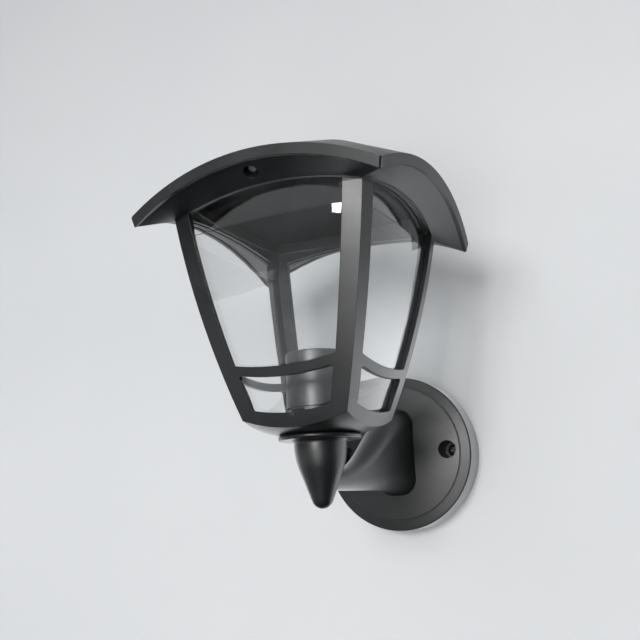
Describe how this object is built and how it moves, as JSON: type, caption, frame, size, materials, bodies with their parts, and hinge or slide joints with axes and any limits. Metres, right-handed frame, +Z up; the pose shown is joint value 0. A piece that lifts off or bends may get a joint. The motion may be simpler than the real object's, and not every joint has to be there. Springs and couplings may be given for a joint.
{
  "type": "wall lantern",
  "caption": "Wall-mounted outdoor lantern: glazed tapering cage with an arched lift-off roof and an E27 lampholder, on a bracket arm from a round wall base.",
  "frame": {"origin": "on the wall plane, at the centre of the round base, midway between its two wall-screw holes", "axes": "+Z up, +Y into the wall, so that the lantern hangs towards -Y; +X to the right of a viewer facing the wall"},
  "size_m": [0.1816, 0.2508, 0.268],
  "materials": {
    "black_plastic": "satin moulded, fine grain",
    "gloss_black_plastic": "glossy moulded",
    "clear_plastic": "clear, glossy",
    "zinc_steel": "bright zinc plated",
    "brass": "stamped",
    "seal_rubber": "matte",
    "insulator": "moulded",
    "terminal_plastic": "moulded",
    "wire_insulation": "smooth"
  },
  "bodies": {
    "lantern": {"lantern_cage": "black_plastic", "collar_ring": "black_plastic", "bracket_arm": "black_plastic", "wall_base": "black_plastic", "clear_diffuser": "clear_plastic", "stack_screws": "zinc_steel", "arm_screws": "zinc_steel", "terminal_block_screw": "zinc_steel", "clamp_screws": "zinc_steel", "seal_washer": "seal_rubber", "wall_gasket": "seal_rubber", "cable_grommet": "seal_rubber", "holder_cap": "gloss_black_plastic", "holder_sleeve": "gloss_black_plastic", "holder_insert": "insulator", "screw_shell": "brass", "centre_contact": "brass", "side_contact": "brass", "terminal_sleeves": "brass", "terminal_screws": "zinc_steel", "terminal_block": "terminal_plastic", "cord_clamp": "terminal_plastic", "lamp_wires": "wire_insulation"},
    "roof": {"roof_canopy": "black_plastic", "eave_frame": "black_plastic", "roof_screws": "zinc_steel"}
  },
  "joints": [
    {"name": "roof_lift", "type": "slide", "parent": "lantern", "child": "roof", "axis": [0, 0, 1], "range_m": [0, 0.08]}
  ]
}
